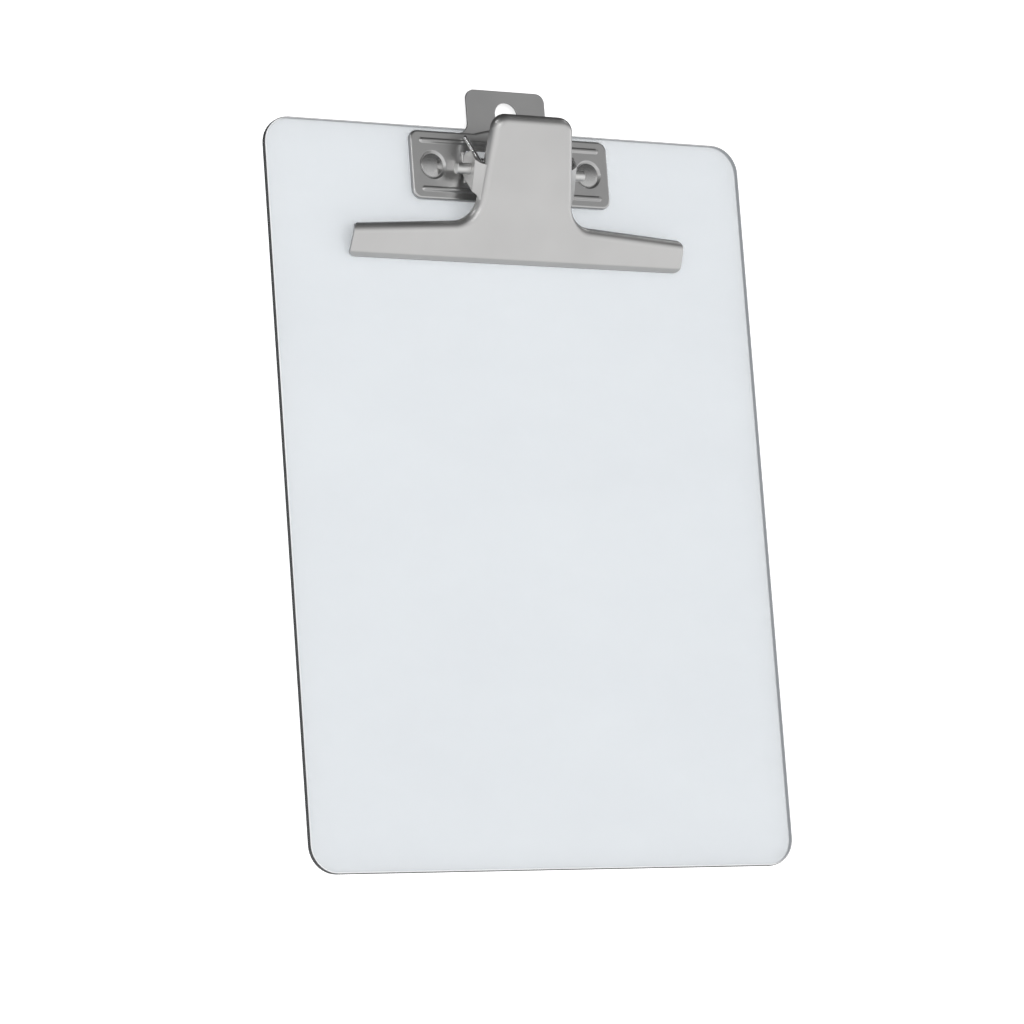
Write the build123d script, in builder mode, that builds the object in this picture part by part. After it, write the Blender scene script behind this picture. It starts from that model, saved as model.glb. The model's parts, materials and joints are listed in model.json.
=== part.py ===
"""A clear clipboard: a plastic board and a sprung steel lever clip.

The origin is the centre of the board's back face. +X runs across the board, +Y up it towards the
clip, and +Z out of its writing face. All lengths are in millimetres.
"""

import os
from math import acos, asin, atan2, cos, hypot, pi, radians, sin, sqrt

from build123d import *

os.makedirs("parts", exist_ok=True)

# ---------------------------------------------------------------- driving dimensions
# Board
board_width = 230.0
board_height = 315.0
board_thickness = 3.0
board_corner = 12.0
board_edge = 0.8

# Pressed steel sheet of the base plate and of the lever
sheet = 1.0

# Base plate
plate_width = 95.6
plate_height = 29.7
plate_below_edge = 2.5
plate_corner = 4.0
plate_rise = 0.8
plate_rim = 1.0
tab_width = 38.0
tab_above_edge = 17.0
tab_corner = 4.0
tab_root_fillet = 5.0
arch_height = 2.6
arch_inset = 2.5
hang_hole_radius = 5.5
hang_hole_above_edge = 6.6
bead_length = 88.0
bead_width = 3.4
bead_height = 0.7
bead_inset = 4.4
bead_flank_angle = 48.0
window_top_inset = 7.7
window_height = 15.0
window_corner = 2.0

# Rivets, their dished seats in the plate and the pockets in the board's back
rivet_spacing = 75.4
dish_rim_radius = 6.2
dish_floor_radius = 5.3
rivet_hole_radius = 2.1
rivet_shank_radius = 2.05
rivet_head_radius = 5.0
rivet_head_edge = 0.25
rivet_head_height = 0.9
rivet_tail_radius = 3.4
rivet_tail_height = 0.8
rivet_tail_chamfer = 0.8
pocket_radius = 5.6
pocket_depth = 1.5
washer_radius = 5.2
washer_thickness = 0.5

# Hinge: the base plate's ears stand inside the lever's lobes, on one pin
pivot_below_edge = 20.2
pivot_above_face = 8.9
pin_radius = 2.4
pin_half_length = 30.9
pin_chamfer = 0.4
pin_play = 0.05
ear_inside = 22.0
ear_radius = 4.2
ear_foot_front = 4.2
ear_foot_back = 9.0
ear_root_fillet = 0.7

# Lever, in its own slanted frame: s runs along it to the tail, h stands off it, from the pin
lever_tilt = 20.0
lever_top = 9.95
lever_roll = 3.6
flange_bottom = 5.15
tail_end = 24.4
tail_corner = 6.5
stem_half_at_pin = 21.2
stem_taper = 0.1045
throat_fillet = 11.0
jaw_half_at_back = 79.4
jaw_half_at_lip = 80.2
jaw_back_at_throat = -21.0
jaw_back_at_end = -24.8
jaw_corner = 3.0
bow_start = -15.7
bow_radius = 100.0
lip_bend = (-36.7, 6.54)
lip_bend_radius = 1.6
lip_below_edge = 58.5
mouth_open_from = 50.5
lip_gap = 0.15
lobe_outside = 24.7
lobe_flare_low = 4.8
lobe_flare_high = 7.6
lobe_outline = (
    (-13.5, 8.5),
    (-10.0, 6.2),
    (-2.2, -6.0),
    (5.9, -4.6),
    (8.0, 0.6),
    (3.2, 6.2),
    (2.6, 8.5),
)
lobe_corner_radii = (3.0, 3.6, 2.6, 2.4, 1.5)

# Double torsion spring round the pin
wire_radius = 0.9
coil_radius = 4.0
coil_pitch = 1.9
coil_outer_x = 20.7
coil_full_turns = 3
foot_below_edge = 4.5
bridge_along = 19.0
bridge_bend = 3.0
touch_gap = 0.05

# ---------------------------------------------------------------- places worked out from them
face = board_thickness
top_edge = board_height / 2
plate_top = top_edge - plate_below_edge
plate_middle = plate_top - plate_height / 2
plate_floor = face + sheet
plate_level = face + plate_rise + sheet
pivot_y = top_edge - pivot_below_edge
pivot_z = face + pivot_above_face
rivet_x = rivet_spacing / 2
# Reaches for cutting tools: clear of the whole clip, and down past it from the pin.
far = 100.0
down = 25.0

lever_along = Vector(0, cos(radians(lever_tilt)), sin(radians(lever_tilt)))
lever_normal = Vector(0, -sin(radians(lever_tilt)), cos(radians(lever_tilt)))
pivot = Vector(0, pivot_y, pivot_z)
lever_plan = Plane(origin=pivot, x_dir=(1, 0, 0), z_dir=lever_normal)
lever_side = Plane(origin=pivot, x_dir=lever_along, z_dir=(1, 0, 0))


def lever_section(s):
    """The plane across the lever at distance s from the pin, with X and h as its axes."""
    return Plane(origin=pivot + lever_along * s, x_dir=(1, 0, 0), z_dir=lever_along * -1)


def in_lever(y, z):
    """A point of the board's frame, as (s, h) in the lever's frame."""
    offset_from_pin = Vector(0, y - pivot_y, z - pivot_z)
    return (offset_from_pin.dot(lever_along), offset_from_pin.dot(lever_normal))


def stem_half(s):
    """Half the width of the lever's stem at distance s from the pin."""
    return stem_half_at_pin - stem_taper * s


def tangent_point(foot, side):
    """Where a line up from an ear's foot meets its round top; side is -1 in front and 1 behind."""
    y, z = foot[0] - pivot_y, foot[1] - pivot_z
    angle = atan2(z, y) + side * acos(ear_radius / hypot(y, z))
    return (pivot_y + ear_radius * cos(angle), pivot_z + ear_radius * sin(angle))


# ---------------------------------------------------------------- board
with BuildPart() as board:
    with BuildSketch():
        RectangleRounded(board_width, board_height, board_corner)
    extrude(amount=board_thickness)
    fillet(board.faces().filter_by(Axis.Z).edges(), board_edge)
    with Locations((-rivet_x, plate_middle, 0), (rivet_x, plate_middle, 0)):
        Cylinder(pocket_radius, 2 * pocket_depth, mode=Mode.SUBTRACT)
        Cylinder(rivet_hole_radius, 2 * board_thickness + 1, mode=Mode.SUBTRACT)
board.part.label = "board"
export_step(board.part, "parts/board.step")


# ---------------------------------------------------------------- base plate
def plate_panel(inset):
    """The raised panel's outline: two wings, with a low arch across the root of the tab."""
    half = plate_width / 2 - inset
    low = plate_top - plate_height + inset
    high = plate_top - inset
    arch_half = tab_width / 2 - arch_inset - inset
    with BuildSketch(Plane.XY.offset(face)) as panel:
        with BuildLine():
            Line((-half, low), (half, low))
            Line((half, low), (half, high))
            Line((half, high), (arch_half, high))
            ThreePointArc((arch_half, high), (0, high + arch_height), (-arch_half, high))
            Line((-arch_half, high), (-half, high))
            Line((-half, high), (-half, low))
        make_face()
        wing_corners = panel.vertices().filter_by(lambda v: abs(v.X) > tab_width)
        fillet(wing_corners, plate_corner - inset)
    return panel.sketch


with BuildPart() as base_plate:
    # The raised panel, pressed up from the sheet, with its rim rolled down to the board.
    add(plate_panel(0))
    extrude(amount=plate_rise + sheet)
    fillet(base_plate.faces().sort_by(Axis.Z)[-1].edges(), plate_rim)
    add(plate_panel(sheet))
    extrude(amount=plate_rise, mode=Mode.SUBTRACT)
    # The hanging tab, flat on the board and past its edge.
    tab_root = plate_top - sheet
    tab_tip = top_edge + tab_above_edge
    tab_foot_half = tab_width / 2 + 2 * tab_root_fillet
    with BuildSketch(Plane.XY.offset(face)) as tab:
        with Locations((0, (tab_root + tab_tip) / 2)):
            Rectangle(tab_width, tab_tip - tab_root)
        fillet(tab.vertices().group_by(Axis.Y)[-1], tab_corner)
        with Locations((0, tab_root + sheet / 2)):
            Rectangle(2 * tab_foot_half, sheet)
        roots = tab.vertices().filter_by(lambda v: abs(v.X) < tab_foot_half - tab_root_fillet)
        fillet(roots.group_by(Axis.Y)[0], tab_root_fillet)
        with Locations((0, top_edge + hang_hole_above_edge)):
            Circle(hang_hole_radius, mode=Mode.SUBTRACT)
    extrude(amount=sheet)
    # Stiffening beads: a ridge above and its groove below.
    bead_offset = plate_height / 2 - bead_inset
    with BuildSketch(Plane.XY.offset(plate_level - sheet / 2)):
        with Locations((0, plate_middle - bead_offset), (0, plate_middle + bead_offset)):
            SlotOverall(bead_length, bead_width)
    extrude(amount=bead_height + sheet / 2, taper=bead_flank_angle)
    with BuildSketch(Plane.XY.offset(plate_level - sheet)):
        with Locations((0, plate_middle - bead_offset), (0, plate_middle + bead_offset)):
            SlotOverall(bead_length - sheet, bead_width - sheet)
    extrude(amount=bead_height, taper=bead_flank_angle, mode=Mode.SUBTRACT)
    # Dished rivet seats that reach down to the board.
    for side in (-1, 1):
        with BuildSketch(Plane.XZ.offset(-plate_middle)):
            with BuildLine():
                Polyline(
                    (side * rivet_x, face),
                    (side * (rivet_x + dish_floor_radius + sheet / 2), face),
                    (side * (rivet_x + dish_rim_radius + sheet), plate_level - sheet / 2),
                    (side * rivet_x, plate_level - sheet / 2),
                    close=True,
                )
            make_face()
        revolve(axis=Axis((side * rivet_x, plate_middle, 0), (0, 0, 1)))
        with BuildSketch(Plane.XZ.offset(-plate_middle)):
            with BuildLine():
                Polyline(
                    (side * rivet_x, plate_floor),
                    (side * (rivet_x + dish_floor_radius), plate_floor),
                    (side * (rivet_x + dish_rim_radius), plate_level),
                    (side * rivet_x, plate_level),
                    close=True,
                )
            make_face()
        revolve(axis=Axis((side * rivet_x, plate_middle, 0), (0, 0, 1)), mode=Mode.SUBTRACT)
    with Locations((-rivet_x, plate_middle, face), (rivet_x, plate_middle, face)):
        Cylinder(rivet_hole_radius, 4 * sheet, mode=Mode.SUBTRACT)
    # The window, whose metal is folded up into the two ears.
    window_middle = plate_top - window_top_inset - window_height / 2
    with BuildSketch(Plane.XY.offset(face)) as window:
        with Locations((0, window_middle)):
            RectangleRounded(2 * ear_inside, window_height, window_corner)
    extrude(amount=2 * (plate_rise + sheet), mode=Mode.SUBTRACT)
    ear_front = (pivot_y - ear_foot_front, plate_level - sheet)
    ear_back = (pivot_y + ear_foot_back, plate_level - sheet)
    for side in (-1, 1):
        with BuildSketch(Plane.YZ.offset(side * (ear_inside + sheet / 2))):
            with BuildLine():
                left = tangent_point(ear_front, -1)
                right = tangent_point(ear_back, 1)
                Line(ear_back, right)
                ThreePointArc(right, (pivot_y, pivot_z + ear_radius), left)
                Polyline(left, ear_front, ear_back)
            make_face()
        extrude(amount=sheet / 2, both=True)
    # The bend at each ear's root.
    ear_outside = ear_inside + sheet
    for side in (-1, 1):
        with BuildSketch(Plane.XZ.offset(-(pivot_y - ear_foot_front))):
            with BuildLine():
                Polyline(
                    (side * ear_outside, plate_level + ear_root_fillet),
                    (side * (ear_outside - sheet / 2), plate_level + ear_root_fillet),
                    (side * (ear_outside - sheet / 2), plate_level - sheet / 2),
                    (side * (ear_outside + ear_root_fillet), plate_level - sheet / 2),
                    (side * (ear_outside + ear_root_fillet), plate_level),
                )
                RadiusArc(
                    (side * (ear_outside + ear_root_fillet), plate_level),
                    (side * ear_outside, plate_level + ear_root_fillet),
                    side * ear_root_fillet,
                )
            make_face()
        extrude(amount=-(ear_foot_front + ear_foot_back))
    with BuildSketch(Plane.YZ):
        with Locations((pivot_y, pivot_z)):
            Circle(pin_radius)
    extrude(amount=ear_inside + 2 * sheet, both=True, mode=Mode.SUBTRACT)
base_plate.part.label = "base_plate"
export_step(base_plate.part, "parts/base_plate.step")


# ---------------------------------------------------------------- rivets and their washers
for name, side in (("left", -1), ("right", 1)):
    with BuildPart() as washer:
        with Locations((side * rivet_x, plate_middle, pocket_depth - washer_thickness / 2)):
            Cylinder(washer_radius, washer_thickness)
            Cylinder(rivet_hole_radius, 2 * washer_thickness, mode=Mode.SUBTRACT)
    washer.part.label = "rivet_washer_" + name
    export_step(washer.part, "parts/rivet_washer_" + name + ".step")

    tail_top = pocket_depth - washer_thickness
    tail_low = tail_top - rivet_tail_height
    middle = side * rivet_x
    dome_rise = rivet_head_height - rivet_head_edge
    dome_radius = (rivet_head_radius**2 + dome_rise**2) / (2 * dome_rise)
    with BuildPart() as rivet:
        with BuildSketch(Plane.XZ.offset(-plate_middle)):
            with BuildLine():
                Polyline(
                    (middle, plate_floor + rivet_head_height),
                    (middle, tail_low),
                    (middle + rivet_tail_radius - rivet_tail_chamfer, tail_low),
                    (middle + rivet_tail_radius, tail_low + rivet_tail_chamfer / 2),
                    (middle + rivet_tail_radius, tail_top),
                    (middle + rivet_shank_radius, tail_top),
                    (middle + rivet_shank_radius, plate_floor),
                    (middle + rivet_head_radius, plate_floor),
                    (middle + rivet_head_radius, plate_floor + rivet_head_edge),
                )
                RadiusArc(
                    (middle + rivet_head_radius, plate_floor + rivet_head_edge),
                    (middle, plate_floor + rivet_head_height),
                    -dome_radius,
                )
            make_face()
        revolve(axis=Axis((middle, plate_middle, 0), (0, 0, 1)))
    rivet.part.label = "rivet_" + name
    export_step(rivet.part, "parts/rivet_" + name + ".step")


# ---------------------------------------------------------------- pivot pin
with BuildPart() as pivot_pin:
    with BuildSketch(Plane.YZ):
        with Locations((pivot_y, pivot_z)):
            Circle(pin_radius)
    extrude(amount=pin_half_length, both=True)
    chamfer(pivot_pin.edges().filter_by(GeomType.CIRCLE), pin_chamfer)
pivot_pin.part.label = "pivot_pin"
export_step(pivot_pin.part, "parts/pivot_pin.step")


# ---------------------------------------------------------------- lever
lip_tip = in_lever(top_edge - lip_below_edge, face + lip_gap)
lip_behind = in_lever(top_edge - mouth_open_from, face + lip_gap)


def lever_outline(inset, overhang, jaw_rounding=0):
    """The lever's T-shaped plan: inset from its skin, and past the jaw's open ends by overhang."""
    throat = stem_half(jaw_back_at_throat) - inset
    with BuildSketch(lever_plan.offset(-down)) as outline:
        with BuildLine():
            Polyline(
                (-stem_half(tail_end) + inset, tail_end - inset),
                (stem_half(tail_end) - inset, tail_end - inset),
                (throat, jaw_back_at_throat - inset),
                (jaw_half_at_back + overhang, jaw_back_at_end - inset),
                (jaw_half_at_lip + overhang, lip_tip[0] + inset),
                (-jaw_half_at_lip - overhang, lip_tip[0] + inset),
                (-jaw_half_at_back - overhang, jaw_back_at_end - inset),
                (-throat, jaw_back_at_throat - inset),
                close=True,
            )
        make_face()
        for half in (-stem_half(tail_end) + inset, stem_half(tail_end) - inset):
            fillet(corner_at(outline, half, tail_end - inset), tail_corner - inset)
        for half in (-throat, throat):
            fillet(corner_at(outline, half, jaw_back_at_throat - inset), throat_fillet + inset)
        if jaw_rounding:
            for half in (-jaw_half_at_back, jaw_half_at_back):
                fillet(corner_at(outline, half, jaw_back_at_end), jaw_rounding)
            for half in (-jaw_half_at_lip, jaw_half_at_lip):
                fillet(corner_at(outline, half, lip_tip[0]), jaw_rounding)
    return outline.sketch


def corner_at(outline, x, s):
    """The outline's corner nearest to a place in the lever's plan."""
    return outline.vertices().sort_by_distance((x, s, 0))[0]


def pressed_blank(inset, overhang):
    """The lever as a solid block with its back edges rolled over: inset from its skin all round."""
    with BuildPart(mode=Mode.PRIVATE) as blank:
        add(lever_outline(inset, overhang))
        extrude(amount=2 * down, dir=lever_normal)
        with BuildSketch(lever_side):
            with BuildLine():
                FilletPolyline(
                    (far, lever_top),
                    (bow_start, lever_top),
                    lip_bend,
                    lip_tip,
                    radius=[bow_radius, lip_bend_radius],
                )
                Polyline(lip_tip, (lip_tip[0], -far), (far, -far), (far, lever_top))
            make_face()
            if inset:
                offset(amount=-inset)
        extrude(amount=far, both=True, mode=Mode.INTERSECT)
        tail_rim = pivot + lever_along * (tail_end - inset) + lever_normal * (lever_top - inset)
        fillet(blank.edges().sort_by_distance(tail_rim)[0], lever_roll - inset)
    return blank.part


def lobe_section(s, skin):
    """A cut across one side's lobe at distance s from the pin: its sheet, or the space under it."""
    wall = stem_half(s)
    inner = lobe_outside - sheet
    with BuildSketch(lever_section(s)) as cut:
        with BuildLine():
            if skin:
                Polyline(
                    (wall - sheet / 4, lobe_flare_high + sheet / 4),
                    (wall, lobe_flare_high),
                    (lobe_outside, lobe_flare_low),
                    (lobe_outside, -down),
                    (inner, -down),
                    (inner, lobe_flare_low - sheet / 2),
                    (wall - sheet, lobe_flare_high - sheet / 2),
                    (wall - sheet, lobe_flare_high + sheet / 4),
                    close=True,
                )
            else:
                Polyline(
                    (wall - 3 * sheet, lobe_flare_high - sheet / 2),
                    (wall - sheet, lobe_flare_high - sheet / 2),
                    (inner, lobe_flare_low - sheet / 2),
                    (inner, -down),
                    (wall - 3 * sheet, -down),
                    close=True,
                )
        make_face()
    return cut.sketch


def lobe_loft(front, back, skin):
    """The lobe's bent sheet, or the space under it, from one distance along the lever to another."""
    with BuildPart(mode=Mode.PRIVATE) as bent:
        add(lobe_section(front, skin))
        add(lobe_section(back, skin))
        loft(ruled=True)
    return bent.part


with BuildPart() as lobe:
    add(lobe_loft(lobe_outline[0][0] - 1, lobe_outline[4][0] + 1, True))
    with BuildSketch(lever_side) as lobe_shape:
        with BuildLine():
            Polyline(*lobe_outline, close=True)
        make_face()
        for corner, radius in zip(lobe_outline[1:-1], lobe_corner_radii):
            fillet(corner_at(lobe_shape, *corner), radius)
    extrude(amount=far, both=True, mode=Mode.INTERSECT)

with BuildPart() as corner_cuts:
    # What is cut from the jaw's four corners, to round them.
    with BuildSketch(lever_plan.offset(-down)):
        with Locations((-jaw_half_at_lip, jaw_back_at_end), (jaw_half_at_lip, jaw_back_at_end)):
            Rectangle(2 * jaw_corner, 2 * jaw_corner)
        with Locations((-jaw_half_at_lip, lip_tip[0]), (jaw_half_at_lip, lip_tip[0])):
            Rectangle(2 * jaw_corner, 2 * jaw_corner)
    extrude(amount=2 * down, dir=lever_normal)
    with BuildPart(mode=Mode.PRIVATE) as rounded:
        add(lever_outline(0, 0, jaw_corner))
        extrude(amount=2 * down, dir=lever_normal)
    add(rounded.part, mode=Mode.SUBTRACT)

with BuildPart() as lever:
    # One sheet, pressed to a T with its back edges rolled over and its ends and mouth open.
    add(pressed_blank(0, 0))
    add(pressed_blank(sheet, 2 * sheet), mode=Mode.SUBTRACT)
    with BuildSketch(lever_side):
        with BuildLine():
            Polyline(
                in_lever(top_edge - lip_below_edge - sheet, face + lip_gap),
                lip_behind,
                (lip_behind[0], flange_bottom),
                (far, flange_bottom),
                (far, far),
                (lip_tip[0] - sheet, far),
                close=True,
            )
        make_face()
    extrude(amount=far, both=True, mode=Mode.INTERSECT)
    add(corner_cuts.part, mode=Mode.SUBTRACT)
    # The two lobes that carry the pin, flared out of the stem's sides.
    hollow = lobe_loft(lobe_outline[1][0], lobe_outline[-1][0], False)
    add(hollow, mode=Mode.SUBTRACT)
    add(hollow.mirror(Plane.YZ), mode=Mode.SUBTRACT)
    add(lobe.part)
    add(lobe.part.mirror(Plane.YZ))
    with BuildSketch(Plane.YZ):
        with Locations((pivot_y, pivot_z)):
            Circle(pin_radius + pin_play)
    extrude(amount=far, both=True, mode=Mode.SUBTRACT)
lever.part.label = "lever"
export_step(lever.part, "parts/lever.step")


# ---------------------------------------------------------------- torsion spring
def on_coil(x, angle):
    """A point of the coil's centre line."""
    return Vector(x, pivot_y + coil_radius * cos(angle), pivot_z + coil_radius * sin(angle))


# Both legs leave the coil straight on, so they creep outwards along X at the coil's own slope.
coil_slope = coil_pitch / (2 * pi * coil_radius)
# The outer leg lies from the top of the coil down to the plate, near its top edge.
foot_y = top_edge - foot_below_edge
foot_z = plate_level + wire_radius + touch_gap
foot_reach = hypot(foot_z - pivot_z, foot_y - pivot_y)
leg_angle = atan2(foot_z - pivot_z, foot_y - pivot_y) + acos(coil_radius / foot_reach)
leg_length = sqrt(foot_reach**2 - coil_radius**2)
foot = Vector(-coil_outer_x - leg_length * coil_slope, foot_y, foot_z)
# The inner leg lies from under the coil up to the lever's underside.
bridge_rise = lever_top - sheet - wire_radius - touch_gap
bridge_reach = hypot(bridge_along, bridge_rise)
inner_length = sqrt(bridge_reach**2 - coil_radius**2)
bridge_slope = atan2(bridge_rise, bridge_along) + asin(coil_radius / bridge_reach)
last_angle = radians(lever_tilt) + bridge_slope - pi / 2
turn_share = (last_angle - leg_angle) / (2 * pi) % 1
coil_length = coil_pitch * (coil_full_turns - 1 + turn_share)

coil_start = on_coil(-coil_outer_x, leg_angle)
coil_end = on_coil(-coil_outer_x + coil_length, last_angle)
bridge_middle = pivot + lever_along * bridge_along + lever_normal * bridge_rise
bridge_corner = bridge_middle + Vector(coil_end.X + inner_length * coil_slope, 0, 0)
coil_place = Plane(
    origin=(-coil_outer_x, pivot_y, pivot_z),
    x_dir=(0, cos(leg_angle), sin(leg_angle)),
    z_dir=(1, 0, 0),
)
with BuildPart() as half_spring:
    with BuildLine():
        Line(foot, coil_start)
        add(coil_place.location * Helix(coil_pitch, coil_length, coil_radius, mode=Mode.PRIVATE))
        FilletPolyline(coil_end, bridge_corner, bridge_middle, radius=bridge_bend)
    with BuildSketch(Plane(origin=foot, z_dir=coil_start - foot)):
        Circle(wire_radius)
    sweep()
with BuildPart() as torsion_spring:
    add(half_spring.part)
    add(half_spring.part.mirror(Plane.YZ))
torsion_spring.part.label = "torsion_spring"
export_step(torsion_spring.part, "parts/torsion_spring.step")
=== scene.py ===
# %% [markdown]
# # A clear clipboard with a sprung lever clip
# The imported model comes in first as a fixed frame: a clear plastic board, a pressed steel base plate riveted to
# it, and a wide steel lever that turns on a pin. Nothing here moves or reshapes those pieces. This lesson gives
# each one its finish, winds the visible spring, and sets up the studio.

import json
import math

import bpy
from mathutils import Matrix, Vector


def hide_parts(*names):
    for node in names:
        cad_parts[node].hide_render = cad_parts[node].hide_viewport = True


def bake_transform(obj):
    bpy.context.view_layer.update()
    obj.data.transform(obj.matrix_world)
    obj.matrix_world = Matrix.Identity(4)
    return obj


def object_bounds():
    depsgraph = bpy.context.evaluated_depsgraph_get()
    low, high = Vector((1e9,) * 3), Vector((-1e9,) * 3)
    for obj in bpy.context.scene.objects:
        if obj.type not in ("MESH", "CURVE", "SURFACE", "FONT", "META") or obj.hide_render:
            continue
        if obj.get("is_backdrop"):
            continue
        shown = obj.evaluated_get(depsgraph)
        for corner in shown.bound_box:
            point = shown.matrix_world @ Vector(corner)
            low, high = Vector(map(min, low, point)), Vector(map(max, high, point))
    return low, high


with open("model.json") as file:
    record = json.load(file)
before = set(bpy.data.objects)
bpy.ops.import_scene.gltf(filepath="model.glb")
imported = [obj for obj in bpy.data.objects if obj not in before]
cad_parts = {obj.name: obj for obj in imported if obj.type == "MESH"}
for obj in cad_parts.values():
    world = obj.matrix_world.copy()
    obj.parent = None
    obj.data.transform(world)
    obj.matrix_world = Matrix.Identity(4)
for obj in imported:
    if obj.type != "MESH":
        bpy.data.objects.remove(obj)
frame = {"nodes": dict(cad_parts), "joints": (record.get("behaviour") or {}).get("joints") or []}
pieces = frame["nodes"]
cad_low, cad_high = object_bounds()
print("pieces:", sorted(pieces))
print("box in mm:", [round(1000 * (b - a), 1) for a, b in zip(cad_low, cad_high)])

# %% [markdown]
# ## The camera
# A product picture like this is taken from well back with a long lens, so that the board's edges stay nearly
# parallel. The camera stands to the left of the board and a little below its middle. Its three axes are written
# out as a matrix, which fixes the roll as well as the aim. A Track To constraint would aim it too, but it would
# leave the roll to chance.

# %% Camera
camera_data = bpy.data.cameras.new("studio_camera")
camera_data.lens = 162.6
camera_data.sensor_width = 36.0
camera = bpy.data.objects.new("studio_camera", camera_data)
bpy.context.scene.collection.objects.link(camera)
to_the_right = Vector((0.8720, -0.0719, 0.4842))
backwards = Vector((-0.4891, -0.1694, 0.8556))
upwards = backwards.cross(to_the_right).normalized()
to_the_right = upwards.cross(backwards).normalized()
turn = Matrix((to_the_right, upwards, backwards.normalized())).transposed()
camera.matrix_world = Matrix.Translation((-0.9556, -0.3346, 1.6558)) @ turn.to_4x4()
camera_data.clip_end = 50.0
bpy.context.scene.camera = camera
print("camera is", round(camera.location.length, 3), "m from the board's middle")

# %% [markdown]
# ## The studio
# Bright metal has almost no colour of its own: it shows the room. So the room comes before the finishes. Here
# it is a soft tent that is light on the side of the board's foot and falls off to dark beyond its head. Flat
# metal then looks mid grey, metal tipped towards the foot looks pale, and every edge rolled over towards the
# head gets a dark line. The tent is a gradient in the world shader. Cards and flags round a real object do the
# same, but here they would get in the way of a camera that walks round.

# %% World helpers
def node(tree, kind, place=(0, 0), **settings):
    """A new node, with its settings made."""
    made = tree.nodes.new(kind)
    made.location = place
    for name, value in settings.items():
        setattr(made, name, value)
    return made


def ramp(tree, steps, smooth=False):
    """A colour ramp through (position, grey or colour) steps."""
    made = node(tree, "ShaderNodeValToRGB")
    made.color_ramp.interpolation = "EASE" if smooth else "LINEAR"
    stops = made.color_ramp.elements
    while len(stops) < len(steps):
        stops.new(0.5)
    for stop, (position, shade) in zip(stops, steps):
        stop.position = position
        shade = (shade,) * 3 if isinstance(shade, (int, float)) else shade
        stop.color = (*shade, 1.0)
    return made


# %% World
world = bpy.data.worlds.new("soft_tent")
bpy.context.scene.world = world
world.use_nodes = True
tent = world.node_tree
tent.nodes.clear()
direction = node(tent, "ShaderNodeTexCoord")
split = node(tent, "ShaderNodeSeparateXYZ")
tent.links.new(direction.outputs["Generated"], split.inputs[0])
to_ramp = node(tent, "ShaderNodeMapRange")
to_ramp.inputs["From Min"].default_value = -1.0
tent.links.new(split.outputs["Y"], to_ramp.inputs["Value"])
from_foot_to_head = [
    (0.0, 0.58), (0.12, 0.70), (0.22, 0.85), (0.32, 0.84),
    (0.45, 0.69), (0.58, 0.50), (0.70, 0.17), (1.0, 0.05),
]
falloff = ramp(tent, from_foot_to_head)
tent.links.new(to_ramp.outputs[0], falloff.inputs[0])
under = node(tent, "ShaderNodeMapRange")
for socket, value in (("From Min", -0.5), ("From Max", 0.15), ("To Min", 0.45), ("To Max", 1.0)):
    under.inputs[socket].default_value = value
tent.links.new(split.outputs["Z"], under.inputs["Value"])
dimmed = node(tent, "ShaderNodeVectorMath", operation="SCALE")
tent.links.new(falloff.outputs[0], dimmed.inputs[0])
tent.links.new(under.outputs[0], dimmed.inputs["Scale"])
glow = node(tent, "ShaderNodeBackground")
tent.links.new(dimmed.outputs[0], glow.inputs["Color"])
plain = node(tent, "ShaderNodeBackground")
plain.inputs["Color"].default_value = (1.0, 1.0, 1.0, 1.0)
seen = node(tent, "ShaderNodeLightPath")
either = node(tent, "ShaderNodeMixShader")
tent.links.new(seen.outputs["Is Camera Ray"], either.inputs[0])
tent.links.new(glow.outputs[0], either.inputs[1])
tent.links.new(plain.outputs[0], either.inputs[2])
world_out = node(tent, "ShaderNodeOutputWorld")
tent.links.new(either.outputs[0], world_out.inputs["Surface"])
bpy.context.scene.view_settings.view_transform = "Standard"
print("tent falls off through", len(from_foot_to_head), "steps")

# %% [markdown]
# ## Lights and floor
# A wide softbox overhead lights the floor to paper white. Both are hidden from reflections: flat metal would
# mirror the softbox as one blank patch, and the white floor would fill the dark lines of the rolled edges. Boxes
# and strips at the sides and beyond the head draw the bright lines instead. None stands low on the left, where
# the smooth board would mirror it as a hard white patch from the right.

# %% Lights
def softbox(name, at, aim, width, height, power, mirrored=True):
    """A rectangular area light at one point, facing another."""
    data = bpy.data.lights.new(name, "AREA")
    data.shape = "RECTANGLE"
    data.size, data.size_y = width, height
    data.energy = power
    box = bpy.data.objects.new(name, data)
    bpy.context.scene.collection.objects.link(box)
    box.location = at
    box.rotation_mode = "QUATERNION"
    box.rotation_quaternion = (Vector(aim) - Vector(at)).to_track_quat("-Z", "Y")
    box.visible_glossy = mirrored
    return box


clip_middle = (0.0, 0.13, 0.02)
softbox("overhead_softbox", (0, 0, 2.4), (0, 0, 0), 3.0, 3.0, 28.0, mirrored=False)
softbox("left_box", (-1.20, 0.55, 0.95), clip_middle, 0.9, 0.7, 0.55)
softbox("left_strip", (-0.80, 0.35, 1.45), clip_middle, 0.25, 1.2, 1.9)
softbox("right_strip", (1.40, 0.20, 0.30), clip_middle, 0.45, 1.2, 0.9)
softbox("rear_left_strip", (-1.00, 1.10, 0.16), clip_middle, 0.10, 0.6, 1.2)
softbox("rear_right_strip", (1.00, 1.10, 0.16), clip_middle, 0.10, 0.6, 0.7)

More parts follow.
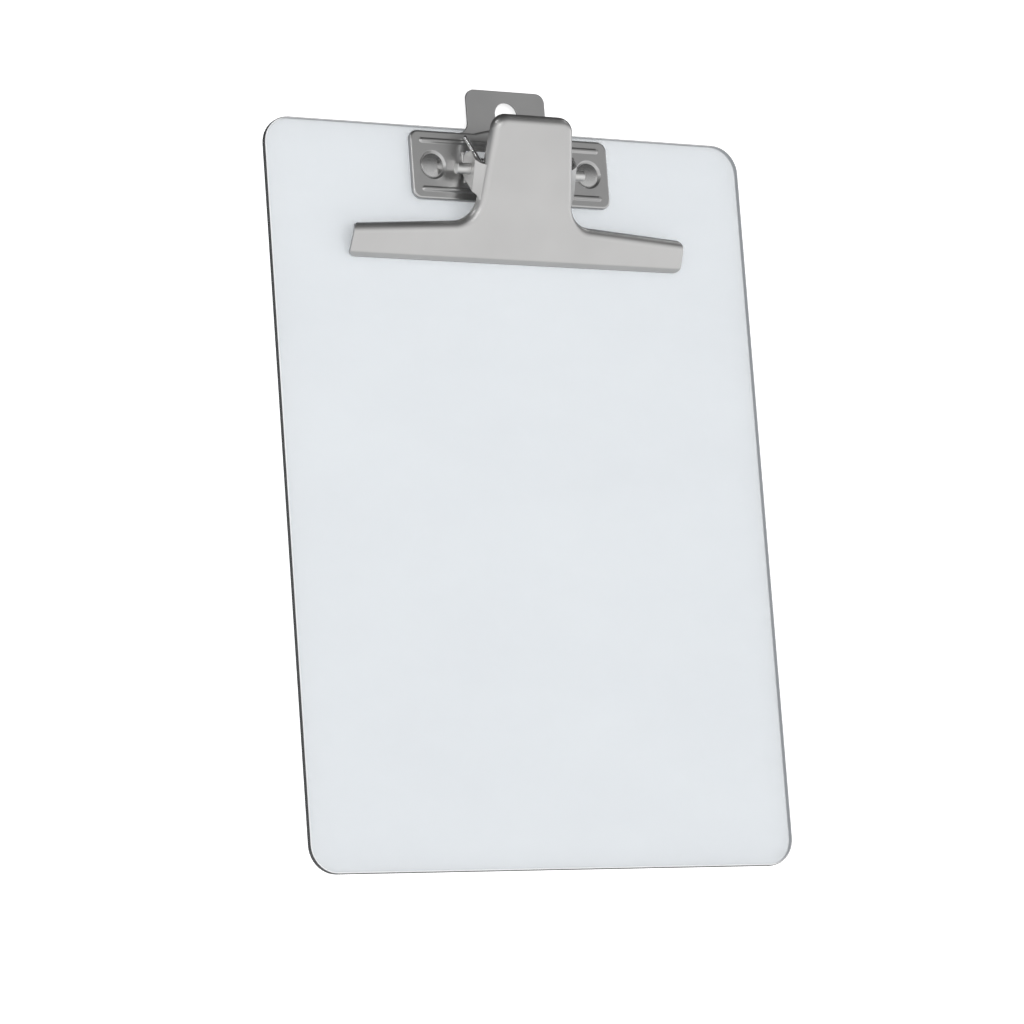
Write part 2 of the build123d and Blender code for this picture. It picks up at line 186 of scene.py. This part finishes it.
# %% Floor
floor_mesh = bpy.data.meshes.new("floor")
reach = 12.0
floor_gap = 0.0004
floor_height = cad_low.z - floor_gap
floor_corners = [(-reach, -reach), (reach, -reach), (reach, reach), (-reach, reach)]
floor_mesh.from_pydata([(x, y, floor_height) for x, y in floor_corners], [], [(0, 1, 2, 3)])
floor = bpy.data.objects.new("floor", floor_mesh)
bpy.context.scene.collection.objects.link(floor)
floor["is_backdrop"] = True
floor.visible_glossy = False
paper = bpy.data.materials.new("floor_paper")
paper.use_nodes = True
paper_shader = paper.node_tree.nodes["Principled BSDF"]
paper_shader.inputs["Base Color"].default_value = (0.86, 0.86, 0.86, 1.0)
paper_shader.inputs["Roughness"].default_value = 1.0
paper_shader.inputs["Specular IOR Level"].default_value = 0.0
paper_shader.inputs["Emission Color"].default_value = (1.0, 1.0, 1.0, 1.0)
paper_shader.inputs["Emission Strength"].default_value = 0.68
floor_mesh.materials.append(paper)
print("floor is", 1000 * floor_gap, "mm below the board")

# %% [markdown]
# ## How every finish starts
# Each finish is one Principled shader with a few procedural textures behind it: noise, stretched noise and
# Voronoi cells in the piece's own coordinates, in metres. A scale of 2000 is then a grain of half a millimetre.
# The helpers below keep the recipes short.

# %% Finish helpers
def finish_base(name):
    """A material with its shader, and the piece's own coordinates."""
    made = bpy.data.materials.new(name)
    made.use_nodes = True
    tree = made.node_tree
    shader = tree.nodes["Principled BSDF"]
    place = node(tree, "ShaderNodeTexCoord", (-1400, 0))
    return made, tree, shader, place.outputs["Object"]


def stretched(tree, place, stretch):
    """The piece's coordinates, stretched along its axes."""
    made = node(tree, "ShaderNodeMapping")
    made.inputs["Scale"].default_value = stretch
    tree.links.new(place, made.inputs["Vector"])
    return made.outputs["Vector"]


def noise(tree, place, scale, detail=4.0, roughness=0.55):
    """Soft random patches or, at a high scale, a grain."""
    made = node(tree, "ShaderNodeTexNoise")
    made.inputs["Scale"].default_value = scale
    made.inputs["Detail"].default_value = detail
    made.inputs["Roughness"].default_value = roughness
    tree.links.new(place, made.inputs["Vector"])
    return made.outputs["Fac"]


def spread(tree, value, low, high, start=0.3, end=0.7):
    """A texture's value, spread over the range from low to high."""
    made = node(tree, "ShaderNodeMapRange")
    made.inputs["From Min"].default_value = start
    made.inputs["From Max"].default_value = end
    made.inputs["To Min"].default_value = low
    made.inputs["To Max"].default_value = high
    tree.links.new(value, made.inputs["Value"])
    return made.outputs["Result"]


def between(tree, share, first, second):
    """One colour or the other, by share."""
    made = node(tree, "ShaderNodeMix", data_type="RGBA")
    tree.links.new(share, made.inputs["Factor"])
    made.inputs["A"].default_value = (*first, 1.0)
    made.inputs["B"].default_value = (*second, 1.0)
    return made.outputs["Result"]


def eased_edges(tree, radius):
    """Normals that turn over sharp edges as if they were broken to this radius, in metres."""
    made = node(tree, "ShaderNodeBevel")
    made.samples = 6
    made.inputs["Radius"].default_value = radius
    return made.outputs["Normal"]


def relief(tree, height, distance, strength=1.0, over=None):
    """Bumps of a texture's height, in metres, over other normals if there are any."""
    made = node(tree, "ShaderNodeBump")
    made.inputs["Distance"].default_value = distance
    made.inputs["Strength"].default_value = strength
    tree.links.new(height, made.inputs["Height"])
    if over is not None:
        tree.links.new(over, made.inputs["Normal"])
    return made.outputs["Normal"]


def wear(piece_name, material):
    """Gives a piece of the frame its finish."""
    mesh = pieces[piece_name].data
    mesh.materials.clear()
    mesh.materials.append(material)
    print(piece_name, "wears", material.name)


# %% [markdown]
# ## Satin nickel on the lever
# The lever is pressed from steel sheet, tumbled with small stones to take off the burrs, and plated. Tumbling
# leaves a fine even grain, so the metal glows softly and mirrors nothing clearly. Roughness carries most of
# that look. A faint cloudiness in the colour and the roughness stops large flat areas from looking painted.

# %% Lever finish
satin_nickel, tree, shader, place = finish_base("satin_nickel")
clouds = noise(tree, place, 26.0, 3.0)
grain = noise(tree, place, 3800.0, 2.0, 0.7)
tumbled = noise(tree, place, 60.0, 5.0)
plating = between(tree, spread(tree, clouds, 0, 1), (0.690, 0.686, 0.680), (0.735, 0.731, 0.725))
tree.links.new(plating, shader.inputs["Base Color"])
tree.links.new(spread(tree, tumbled, 0.34, 0.40), shader.inputs["Roughness"])
shader.inputs["Metallic"].default_value = 1.0
tree.links.new(relief(tree, grain, 0.00001, 0.5, eased_edges(tree, 0.00035)), shader.inputs["Normal"])
wear("lever", satin_nickel)

# %% [markdown]
# ## Bright rolled steel on the base plate
# The plate is the same steel, but it keeps the bright skin of the rolling mill, with a sharper shine than the
# lever's. Rolling leaves lines all one way, so faint here that they only just break up the shine. Noise that is
# squeezed across the lines and stretched along them makes them.

# %% Base plate finish
rolled_steel, tree, shader, place = finish_base("rolled_steel")
lines = noise(tree, stretched(tree, place, (20.0, 900.0, 900.0)), 3.0, 4.0, 0.6)
patches = noise(tree, place, 45.0, 4.0)
skin = between(tree, spread(tree, patches, 0, 1), (0.62, 0.62, 0.62), (0.68, 0.68, 0.675))
tree.links.new(skin, shader.inputs["Base Color"])
tree.links.new(spread(tree, lines, 0.29, 0.297), shader.inputs["Roughness"])
shader.inputs["Metallic"].default_value = 1.0
tree.links.new(relief(tree, lines, 0.0000003, 0.04, eased_edges(tree, 0.0003)), shader.inputs["Normal"])
wear("base_plate", rolled_steel)

# %% [markdown]
# ## Pin, rivets and washers
# The pin is turned from rod, so it has fine rings round it. The rivets' heads are peened in a polished die and
# shine most. The washers behind the board are zinc plated, a little bluer and duller.

# %% Small metal finishes
turned_steel, tree, shader, place = finish_base("turned_steel")
rings = noise(tree, stretched(tree, place, (1.0, 0.02, 0.02)), 5200.0, 2.0)
tree.links.new(spread(tree, rings, 0.30, 0.40), shader.inputs["Roughness"])
tree.links.new(between(tree, rings, (0.80, 0.80, 0.79), (0.88, 0.88, 0.87)), shader.inputs["Base Color"])
shader.inputs["Metallic"].default_value = 1.0
tree.links.new(relief(tree, rings, 0.000005, 0.5, eased_edges(tree, 0.0002)), shader.inputs["Normal"])
wear("pivot_pin", turned_steel)

peened_steel, tree, shader, place = finish_base("peened_steel")
dents = noise(tree, place, 900.0, 3.0)
tree.links.new(spread(tree, dents, 0.14, 0.26), shader.inputs["Roughness"])
tree.links.new(between(tree, dents, (0.58, 0.58, 0.58), (0.68, 0.68, 0.675)), shader.inputs["Base Color"])
shader.inputs["Metallic"].default_value = 1.0
tree.links.new(relief(tree, dents, 0.00004, 0.4, eased_edges(tree, 0.0002)), shader.inputs["Normal"])
wear("rivet_left", peened_steel)
wear("rivet_right", peened_steel)

zinc_plate, tree, shader, place = finish_base("zinc_plate")
spangle = node(tree, "ShaderNodeTexVoronoi")
spangle.inputs["Scale"].default_value = 700.0
tree.links.new(place, spangle.inputs["Vector"])
crystals = spangle.outputs["Distance"]
tree.links.new(spread(tree, crystals, 0.28, 0.40, 0.0, 0.8), shader.inputs["Roughness"])
tree.links.new(between(tree, crystals, (0.60, 0.62, 0.66), (0.68, 0.69, 0.71)), shader.inputs["Base Color"])
shader.inputs["Metallic"].default_value = 1.0
wear("rivet_washer_left", zinc_plate)
wear("rivet_washer_right", zinc_plate)

# %% [markdown]
# ## Clear plastic for the board
# The board is moulded in clear styrene. Seen face on it is a faint cool tint over whatever lies behind. At its
# edge the light that enters the faces comes out or is lost, so the wall reads as a dark line with a bright one
# on the rounded rim beside it. Real refraction would need many light bounces for little gain on a flat sheet,
# so the sheet is a tinted film by its alpha. The wall's dark line is painted shade and the rim's bright line a
# painted highlight, both put in the colour by how far the surface faces sideways.

# %% Board finish
clear_styrene, tree, shader, place = finish_base("clear_styrene")
facing = node(tree, "ShaderNodeNewGeometry")
sideways = node(tree, "ShaderNodeSeparateXYZ")
tree.links.new(facing.outputs["Normal"], sideways.inputs[0])
upright = node(tree, "ShaderNodeMath", operation="ABSOLUTE")
tree.links.new(sideways.outputs["Z"], upright.inputs[0])
# Painted light: the upright wall gets a near-black painted shade and the rounded rim a painted white highlight;
# only the faces keep the plastic's own cool tint.
painted_rim_highlight = (0.95, 0.96, 0.97)
painted_edge_light_and_tint = ramp(tree, [
    (0.0, (0.012, 0.013, 0.015)), (0.64, (0.015, 0.016, 0.018)),
    (0.80, painted_rim_highlight), (0.95, painted_rim_highlight), (0.995, (0.62, 0.66, 0.695)),
])
tree.links.new(upright.outputs[0], painted_edge_light_and_tint.inputs[0])
see_through = ramp(tree, [(0.0, 0.95), (0.64, 0.94), (0.80, 0.75), (0.95, 0.70), (0.995, 0.42)])
tree.links.new(upright.outputs[0], see_through.inputs[0])
streaks = noise(tree, stretched(tree, place, (1.0, 2.2, 1.0)), 9.0, 3.0)
faint = node(tree, "ShaderNodeMix", data_type="RGBA", blend_type="MULTIPLY")
faint.inputs["Factor"].default_value = 1.0
tree.links.new(painted_edge_light_and_tint.outputs[0], faint.inputs["A"])
moulding_flow = between(tree, spread(tree, streaks, 0, 1), (0.96, 0.96, 0.965), (1.0, 1.0, 1.0))
tree.links.new(moulding_flow, faint.inputs["B"])
tree.links.new(faint.outputs["Result"], shader.inputs["Base Color"])
tree.links.new(see_through.outputs[0], shader.inputs["Alpha"])
handling = noise(tree, place, 35.0, 5.0)
tree.links.new(spread(tree, handling, 0.06, 0.12), shader.inputs["Roughness"])
shader.inputs["IOR"].default_value = 1.59
wear("board", clear_styrene)

# %% [markdown]
# ## The double torsion spring
# One length of hard wire makes the whole spring. It starts with a foot on the base plate, winds nearly three
# turns round the pin, runs up under the lever's tail, crosses over, and does the same again on the other side.
# It could be a curve with a round bevel. Here it is a mesh swept along points, which gives even rings of faces.
# In the real clip the wire twists: its feet stay with the plate while its bridge rises and falls with the lever.

# %% Wire sizes, in metres
wire_radius = 0.0009
coil_radius = 0.004
coil_pitch = 0.0019
coil_outer_x = 0.0207
bridge_along = 0.019
bridge_height = 0.008
bend_radius = 0.003
hinge = next(j for j in frame["joints"] if j["name"] == "lever_pivot")
pin_y, pin_z = hinge["pos_m"][1], hinge["pos_m"][2]
lever_tilt = math.radians(20.0)
foot_y, foot_z = 0.153, 0.00575
leg_steps, coil_steps, rise_steps, bend_steps, bridge_steps = 12, 108, 14, 12, 16
print("pin at", pin_y, pin_z)


# %% The wire's centre line
def wire_line():
    """Points along one half of the spring, from its foot on the plate to the middle of its bridge."""
    slope = coil_pitch / (2 * math.pi * coil_radius)
    reach_to_foot = math.hypot(foot_y - pin_y, foot_z - pin_z)
    first = math.atan2(foot_z - pin_z, foot_y - pin_y) + math.acos(coil_radius / reach_to_foot)
    leg = math.sqrt(reach_to_foot**2 - coil_radius**2)
    reach_to_bridge = math.hypot(bridge_along, bridge_height)
    inner = math.sqrt(reach_to_bridge**2 - coil_radius**2)
    rise = math.atan2(bridge_height, bridge_along) + math.asin(coil_radius / reach_to_bridge)
    last = lever_tilt + rise - math.pi / 2
    turned = 4 * math.pi + (last - first) % (2 * math.pi)
    line = []
    for i in range(leg_steps + 1):
        left = leg * (1 - i / leg_steps)
        y = pin_y + coil_radius * math.cos(first) + left * math.sin(first)
        z = pin_z + coil_radius * math.sin(first) - left * math.cos(first)
        line.append(Vector((-coil_outer_x - left * slope, y, z)))
    for i in range(1, coil_steps + 1):
        angle = first + turned * i / coil_steps
        x = -coil_outer_x + coil_pitch * turned * i / coil_steps / (2 * math.pi)
        line.append(Vector((x, pin_y + coil_radius * math.cos(angle), pin_z + coil_radius * math.sin(angle))))
    end = line[-1]
    corner_y = pin_y + bridge_along * math.cos(lever_tilt) - bridge_height * math.sin(lever_tilt)
    corner_z = pin_z + bridge_along * math.sin(lever_tilt) + bridge_height * math.cos(lever_tilt)
    corner = Vector((end.x + inner * slope, corner_y, corner_z))
    middle = Vector((0.0, corner_y, corner_z))
    came, goes = (corner - end).normalized(), (middle - corner).normalized()
    bend_start, bend_end = corner - came * bend_radius, corner + goes * bend_radius
    line += [end.lerp(bend_start, i / rise_steps) for i in range(1, rise_steps + 1)]
    for i in range(1, bend_steps + 1):
        t = i / bend_steps
        line.append(bend_start * (1 - t) ** 2 + corner * 2 * t * (1 - t) + bend_end * t**2)
    line += [bend_end.lerp(middle, i / bridge_steps) for i in range(1, bridge_steps + 1)]
    return line


half_line = wire_line()
half_length = sum((b - a).length for a, b in zip(half_line, half_line[1:]))
print("half the wire is", round(1000 * half_length, 1), "mm long")


# %% [markdown]
# Each ring of the tube is turned just enough to follow the line, never twisted about it. That is called a
# rotation minimising frame, and it keeps the long edges of the wire from spiralling.

# %% Sweep a wire
end_round = 0.00018


def wire_mesh(name, line, radius, sides=20):
    """A tube along a line of points, closed at the start by a rounded end."""
    rings, side = [], Vector((1.0, 0.0, 0.0))
    for i, point in enumerate(line):
        ahead = (line[min(i + 1, len(line) - 1)] - line[max(i - 1, 0)]).normalized()
        side = (side - ahead * side.dot(ahead)).normalized()
        rings.append((point, ahead, side, radius))
    point, ahead, side, _ = rings[0]
    tip = [(point + ahead * end_round * k, ahead, side, radius - end_round * (1 - k) ** 2) for k in (0.0, 0.5)]
    rings = tip + [(point + ahead * end_round, ahead, side, radius)] + rings[1:]
    places, faces = [], []
    for point, ahead, side, size in rings:
        other = ahead.cross(side)
        for k in range(sides):
            angle = 2 * math.pi * k / sides
            places.append(point + (side * math.cos(angle) + other * math.sin(angle)) * size)
    for r in range(len(rings) - 1):
        for k in range(sides):
            a, b = r * sides + k, r * sides + (k + 1) % sides
            faces.append((a, b, b + sides, a + sides))
    faces.append(tuple(reversed(range(sides))))
    mesh = bpy.data.meshes.new(name)
    mesh.from_pydata(places, [], faces)
    mesh.shade_smooth()
    mesh.polygons[-1].use_smooth = False
    return mesh


# %% Spring finish
drawn_wire, tree, shader, place = finish_base("drawn_wire")
die_lines = noise(tree, place, 2600.0, 3.0)
tree.links.new(spread(tree, die_lines, 0.14, 0.24), shader.inputs["Roughness"])
tree.links.new(between(tree, die_lines, (0.78, 0.78, 0.79), (0.86, 0.86, 0.86)), shader.inputs["Base Color"])
shader.inputs["Metallic"].default_value = 1.0
tree.links.new(relief(tree, die_lines, 0.000006, 0.5), shader.inputs["Normal"])

# %% [markdown]
# The two halves are separate pieces that meet under the middle of the lever. Each one reaches between the base
# and the lever across the width of its coil; in the real clip its turns wind up as the tail is pressed.

# %% Two halves of the spring
for name, across in (("spring_half_left", 1), ("spring_half_right", -1)):
    line = [Vector((across * p.x, p.y, p.z)) for p in half_line]
    half = bpy.data.objects.new(name, wire_mesh(name, line, wire_radius))
    bpy.context.scene.collection.objects.link(half)
    half.data.materials.append(drawn_wire)
    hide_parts("torsion_spring")
    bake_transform(half)
    print(name, "has", len(half.data.polygons), "faces")

# %% [markdown]
# ## Check the size
# The looks must not make the object bigger than the frame. How far they grow its box is printed.

# %% Sizes
low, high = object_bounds()
grown_low = [round(1000 * (a - b), 3) for a, b in zip(cad_low, low)]
grown_high = [round(1000 * (a - b), 3) for a, b in zip(high, cad_high)]
print("grown by, in mm:", grown_low, grown_high)
